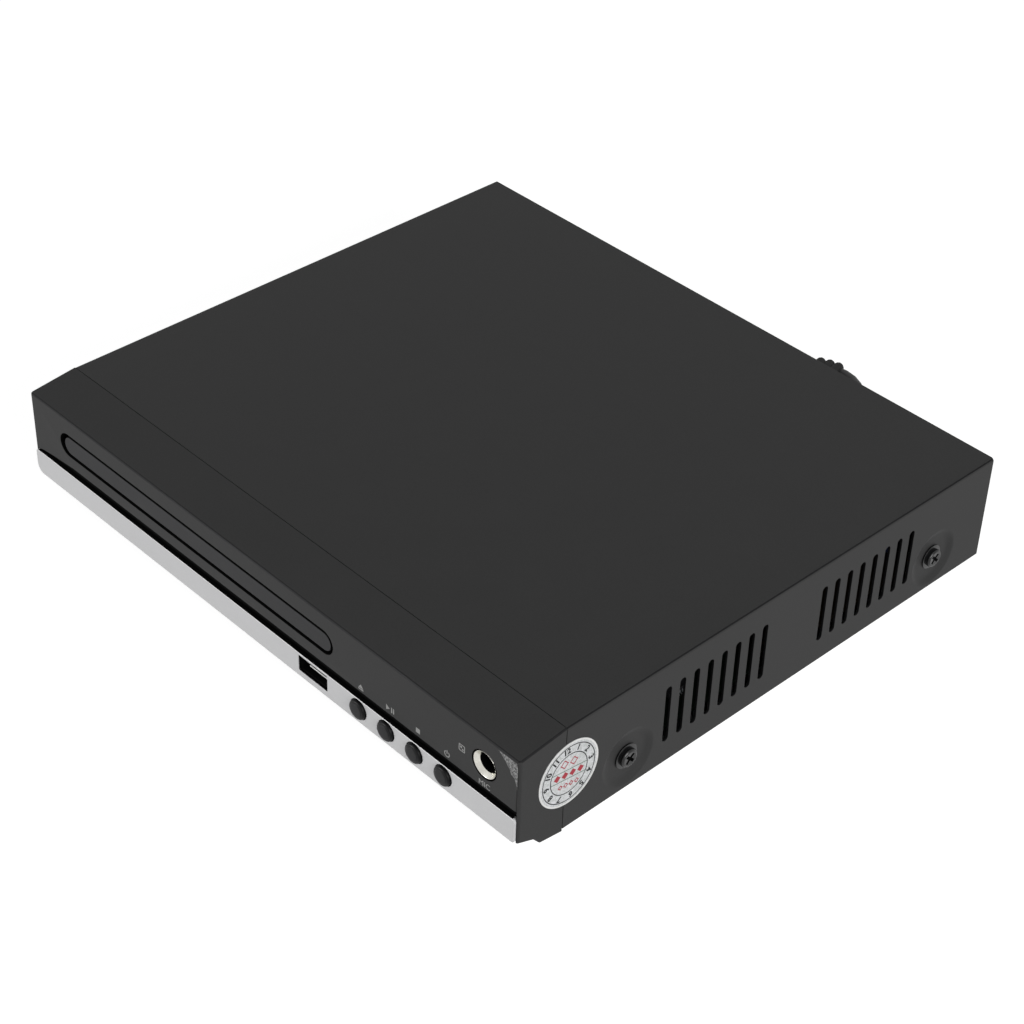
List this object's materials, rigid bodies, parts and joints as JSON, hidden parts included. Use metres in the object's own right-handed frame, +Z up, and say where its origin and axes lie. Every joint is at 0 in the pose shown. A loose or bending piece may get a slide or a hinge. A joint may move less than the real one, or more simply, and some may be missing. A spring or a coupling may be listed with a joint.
{
  "type": "disc player",
  "caption": "Flat disc player with a motorised loading tray, a silver strip with push buttons and sockets, a vented steel cover and a mains lead.",
  "frame": {"origin": "on the floor under the middle of the player, without its mains lead", "axes": "+Z up, the front with the tray faces -Y, +X to the right seen from the front"},
  "size_m": [0.2324, 0.2495, 0.0411],
  "materials": {
    "cover_paint": "fine matte black paint",
    "galvanised_steel": "bright zinc sheet",
    "panel_plastic": "fine spark-eroded moulding",
    "strip_silver": "silver lacquer",
    "black_plastic": "satin moulding",
    "tray_plastic": "satin moulding",
    "door_plastic": "satin moulding",
    "black_screw": "black oxide",
    "zinc_screw": "bright zinc",
    "foil_label": "printed foil",
    "rubber_black": "moulded",
    "loader_plastic": "natural moulding",
    "gear_plastic": "natural acetal",
    "brass_part": "turned",
    "motor_steel": "plated can",
    "magnet_ferrite": "ground",
    "pickup_metal": "die cast",
    "rod_steel": "ground and polished",
    "lens_glass": "coated",
    "board_green": "solder resist",
    "board_brown": "phenolic paper",
    "chip_black": "moulded epoxy",
    "socket_metal": "nickel plate",
    "transformer_core": "tape and ferrite",
    "capacitor_sleeve": "shrink sleeve",
    "fin_aluminium": "extruded",
    "fuse_glass": "clear",
    "wire_red": "insulation",
    "lead_black": "matte sheath"
  },
  "bodies": {
    "player": {"top_cover": "cover_paint", "base_pan": "galvanised_steel", "rear_panel": "galvanised_steel", "front_panel": "panel_plastic", "trim_strip": "strip_silver", "feet": "rubber_black", "cover_screws": "black_screw", "rear_screws": "black_screw", "seal_label": "foil_label", "loader_frame": "loader_plastic", "loader_screws": "zinc_screw", "clamp_bridge": "galvanised_steel", "drive_belt": "rubber_black", "tray_motor": "motor_steel", "front_board": "board_green", "tap_switches": "black_plastic", "data_socket": "socket_metal", "mic_socket": "socket_metal", "main_board": "board_green", "main_chips": "chip_black", "power_board": "board_brown", "transformer": "transformer_core", "capacitors": "capacitor_sleeve", "heat_sink": "fin_aluminium", "fuse": "fuse_glass", "av_board": "board_green", "phono_sockets": "black_plastic", "board_screws": "zinc_screw", "wire_harness": "wire_red", "strain_relief": "lead_black", "mains_lead": "lead_black", "lead_coil": "lead_black", "lead_tie": "rubber_black", "plug": "lead_black"},
    "tray": {"tray": "tray_plastic", "tray_door": "door_plastic"},
    "tray_gear": {"tray_gear": "gear_plastic"},
    "pulley_gear": {"pulley_gear": "gear_plastic"},
    "motor_pulley": {"motor_pulley": "brass_part"},
    "cam_slider": {"cam_slider": "gear_plastic"},
    "disc_drive": {"traverse_frame": "black_plastic", "dampers": "rubber_black", "damper_screws": "zinc_screw", "drive_plate": "galvanised_steel", "spindle_motor": "motor_steel", "guide_rods": "rod_steel", "sled_motor": "motor_steel"},
    "turntable": {"turntable": "black_plastic", "turntable_mat": "rubber_black"},
    "clamper": {"clamper": "gear_plastic", "clamper_magnet": "magnet_ferrite"},
    "pickup": {"optical_pickup": "pickup_metal", "pickup_lens": "lens_glass"},
    "sled_screw": {"sled_screw": "rod_steel"},
    "eject_button": {"eject_button": "black_plastic"},
    "play_button": {"play_button": "black_plastic"},
    "stop_button": {"stop_button": "black_plastic"},
    "power_button": {"power_button": "black_plastic"}
  },
  "joints": [
    {"name": "tray_slide", "type": "slide", "parent": "player", "child": "tray", "axis": [0, -1, 0], "range_m": [0, 0.128]},
    {"name": "tray_gear_spin", "type": "hinge", "parent": "player", "child": "tray_gear", "pos_m": [0.014, -0.071, 0.018], "axis": [0, 0, -1], "range_deg": [-2, 738]},
    {"name": "pulley_spin", "type": "hinge", "parent": "player", "child": "pulley_gear", "pos_m": [-0.0035, -0.071, 0.016], "axis": [0, 0, 1], "range_deg": [-4, 1894]},
    {"name": "motor_spin", "type": "hinge", "parent": "player", "child": "motor_pulley", "pos_m": [-0.0335, -0.071, 0.018], "axis": [0, 0, 1], "range_deg": [-8, 5149]},
    {"name": "cam_slide", "type": "slide", "parent": "player", "child": "cam_slider", "axis": [-1, 0, 0], "range_m": [0, 0.014]},
    {"name": "drive_tilt", "type": "hinge", "parent": "player", "child": "disc_drive", "pos_m": [-0.0311, 0.05, 0.017], "axis": [1, 0, 0], "range_deg": [0, 3.2]},
    {"name": "disc_spin", "type": "hinge", "parent": "disc_drive", "child": "turntable", "pos_m": [-0.0311, -0.033, 0.024], "axis": [0, 0, 1], "continuous": true},
    {"name": "clamper_spin", "type": "hinge", "parent": "player", "child": "clamper", "pos_m": [-0.0311, -0.033, 0.035], "axis": [0, 0, 1], "continuous": true},
    {"name": "sled_slide", "type": "slide", "parent": "disc_drive", "child": "pickup", "axis": [0, 1, 0], "range_m": [0, 0.034]},
    {"name": "sled_screw_spin", "type": "hinge", "parent": "disc_drive", "child": "sled_screw", "pos_m": [0.0004, 0.002, 0.015], "axis": [0, 1, 0], "range_deg": [-4, 4090]},
    {"name": "eject_press", "type": "slide", "parent": "player", "child": "eject_button", "axis": [0, 1, 0], "range_m": [0, 0.0006], "stiffness_N_per_m": 900, "springref_m": -0.0004},
    {"name": "play_press", "type": "slide", "parent": "player", "child": "play_button", "axis": [0, 1, 0], "range_m": [0, 0.0006], "stiffness_N_per_m": 900, "springref_m": -0.0004},
    {"name": "stop_press", "type": "slide", "parent": "player", "child": "stop_button", "axis": [0, 1, 0], "range_m": [0, 0.0006], "stiffness_N_per_m": 900, "springref_m": -0.0004},
    {"name": "power_press", "type": "slide", "parent": "player", "child": "power_button", "axis": [0, 1, 0], "range_m": [0, 0.0006], "stiffness_N_per_m": 900, "springref_m": -0.0004}
  ],
  "couplings": [
    {"joint": "tray_gear_spin", "follows": "tray_slide", "rad_per_m": 100},
    {"joint": "pulley_spin", "follows": "tray_slide", "rad_per_m": 257.14},
    {"joint": "motor_spin", "follows": "tray_slide", "rad_per_m": 699.82},
    {"joint": "drive_tilt", "follows": "cam_slide", "rad_per_m": 3.927},
    {"joint": "clamper_spin", "follows": "disc_spin", "ratio": 1},
    {"joint": "sled_screw_spin", "follows": "sled_slide", "rad_per_m": 2094.4}
  ]
}
